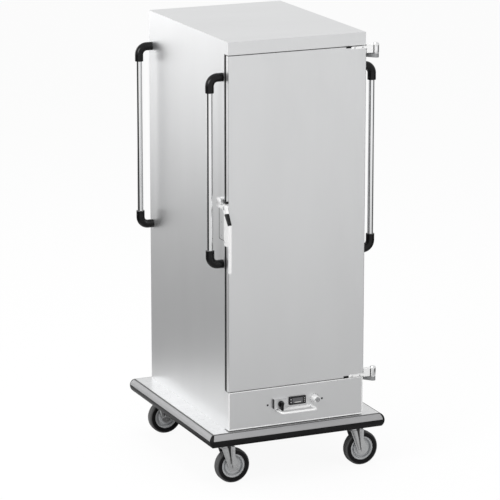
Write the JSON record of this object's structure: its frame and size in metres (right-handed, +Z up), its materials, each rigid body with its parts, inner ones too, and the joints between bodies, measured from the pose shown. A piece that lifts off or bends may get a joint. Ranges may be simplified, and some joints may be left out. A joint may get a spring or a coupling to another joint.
{
  "type": "heated banquet trolley",
  "caption": "Insulated steel cabinet on swivel castors with a wrap-round bumper, side-hinged lever-latched door, side push handles, tray runners and a pull-out heating module under the door.",
  "frame": {"origin": "middle of the overall box, on the floor under the wheels", "axes": "+Z up, front with door and controls towards -Y, +X to the right seen from the front"},
  "size_m": [0.8098, 0.9569, 1.89],
  "materials": {
    "stainless": "satin",
    "galvanised": "zinc plated",
    "chrome": "polished",
    "die_cast": "matt",
    "black_plastic": "matt",
    "pale_plastic": "satin",
    "key_plastic": "satin",
    "black_rubber": "matt",
    "tyre": "matt",
    "mineral_wool": "fibrous",
    "smoked_window": "gloss",
    "dark_steel": "heat darkened"
  },
  "bodies": {
    "cabinet": {"back_panel": "stainless", "bumper_nosing": "pale_plastic", "bumper_rubber": "black_rubber", "cable_gland": "black_plastic", "castor_plates": "galvanised", "cavity_liner": "stainless", "chassis_frame": "galvanised", "deck_plate": "stainless", "floor_grille": "stainless", "front_frame": "die_cast", "handle_elbows_left": "black_plastic", "handle_elbows_right": "black_plastic", "handle_tubes_left": "chrome", "handle_tubes_right": "chrome", "hinge_brackets": "die_cast", "hinge_pins": "chrome", "insulation": "mineral_wool", "module_rails": "galvanised", "rack_uprights": "stainless", "roof_panel": "stainless", "runners_left": "stainless", "runners_right": "stainless", "side_panel_left": "stainless", "side_panel_right": "stainless", "strike": "stainless"},
    "door": {"door_skin": "stainless", "door_insulation": "mineral_wool", "door_liner": "stainless", "door_gasket": "black_rubber", "hinge_straps": "chrome", "latch_plate": "stainless", "latch_pin": "chrome"},
    "latch_lever": {"latch_lever": "chrome"},
    "heating_module": {"module_front": "stainless", "module_tray": "galvanised", "control_box": "galvanised", "heating_element": "dark_steel", "heater_brackets": "galvanised", "fan_motor": "dark_steel", "controller": "black_plastic", "controller_window": "smoked_window", "switch_base": "black_plastic", "pull_handle": "chrome"},
    "switch_knob": {"switch_knob": "black_plastic"},
    "regulator_knob": {"regulator_knob": "chrome"},
    "key_up": {"key_up": "key_plastic"},
    "key_down": {"key_down": "key_plastic"},
    "fan_impeller": {"fan_impeller": "die_cast"},
    "castor_front_left": {"castor_fork_front_left": "galvanised"},
    "wheel_front_left": {"wheel_hub_front_left": "pale_plastic", "tyre_front_left": "tyre"},
    "castor_front_right": {"castor_fork_front_right": "galvanised"},
    "wheel_front_right": {"wheel_hub_front_right": "pale_plastic", "tyre_front_right": "tyre"},
    "castor_rear_left": {"castor_fork_rear_left": "galvanised"},
    "wheel_rear_left": {"wheel_hub_rear_left": "pale_plastic", "tyre_rear_left": "tyre"},
    "castor_rear_right": {"castor_fork_rear_right": "galvanised"},
    "wheel_rear_right": {"wheel_hub_rear_right": "pale_plastic", "tyre_rear_right": "tyre"}
  },
  "joints": [
    {"name": "door_hinge", "type": "hinge", "parent": "cabinet", "child": "door", "pos_m": [0.358, -0.4145, 1.123], "axis": [0, 0, 1], "range_deg": [0, 200]},
    {"name": "latch_turn", "type": "hinge", "parent": "door", "child": "latch_lever", "pos_m": [-0.32, -0.4085, 1.2], "axis": [-1, 0, 0], "range_deg": [0, 35]},
    {"name": "module_slide", "type": "slide", "parent": "cabinet", "child": "heating_module", "axis": [0, -1, 0], "range_m": [0, 0.4]},
    {"name": "switch_turn", "type": "hinge", "parent": "heating_module", "child": "switch_knob", "pos_m": [-0.077, -0.4325, 0.338], "axis": [0, -1, 0], "range_deg": [0, 90]},
    {"name": "regulator_turn", "type": "hinge", "parent": "heating_module", "child": "regulator_knob", "pos_m": [0.085, -0.4185, 0.341], "axis": [0, -1, 0], "range_deg": [0, 270]},
    {"name": "fan_spin", "type": "hinge", "parent": "heating_module", "child": "fan_impeller", "pos_m": [0, -0.2285, 0.309], "axis": [0, 0, 1], "continuous": true},
    {"name": "key_up_press", "type": "slide", "parent": "heating_module", "child": "key_up", "axis": [0, 1, 0], "range_m": [0, 0.0008], "stiffness_N_per_m": 300},
    {"name": "key_down_press", "type": "slide", "parent": "heating_module", "child": "key_down", "axis": [0, 1, 0], "range_m": [0, 0.0008], "stiffness_N_per_m": 300},
    {"name": "swivel_front_left", "type": "hinge", "parent": "cabinet", "child": "castor_front_left", "pos_m": [-0.3, -0.3615, 0.175], "axis": [0, 0, 1], "continuous": true},
    {"name": "roll_front_left", "type": "hinge", "parent": "castor_front_left", "child": "wheel_front_left", "pos_m": [-0.272, -0.3615, 0.075], "axis": [0, 1, 0], "continuous": true},
    {"name": "swivel_front_right", "type": "hinge", "parent": "cabinet", "child": "castor_front_right", "pos_m": [0.3, -0.3615, 0.175], "axis": [0, 0, 1], "continuous": true},
    {"name": "roll_front_right", "type": "hinge", "parent": "castor_front_right", "child": "wheel_front_right", "pos_m": [0.328, -0.3615, 0.075], "axis": [0, 1, 0], "continuous": true},
    {"name": "swivel_rear_left", "type": "hinge", "parent": "cabinet", "child": "castor_rear_left", "pos_m": [-0.3, 0.3885, 0.175], "axis": [0, 0, 1], "continuous": true},
    {"name": "roll_rear_left", "type": "hinge", "parent": "castor_rear_left", "child": "wheel_rear_left", "pos_m": [-0.272, 0.3885, 0.075], "axis": [0, 1, 0], "continuous": true},
    {"name": "swivel_rear_right", "type": "hinge", "parent": "cabinet", "child": "castor_rear_right", "pos_m": [0.3, 0.3885, 0.175], "axis": [0, 0, 1], "continuous": true},
    {"name": "roll_rear_right", "type": "hinge", "parent": "castor_rear_right", "child": "wheel_rear_right", "pos_m": [0.328, 0.3885, 0.075], "axis": [0, 1, 0], "continuous": true}
  ]
}
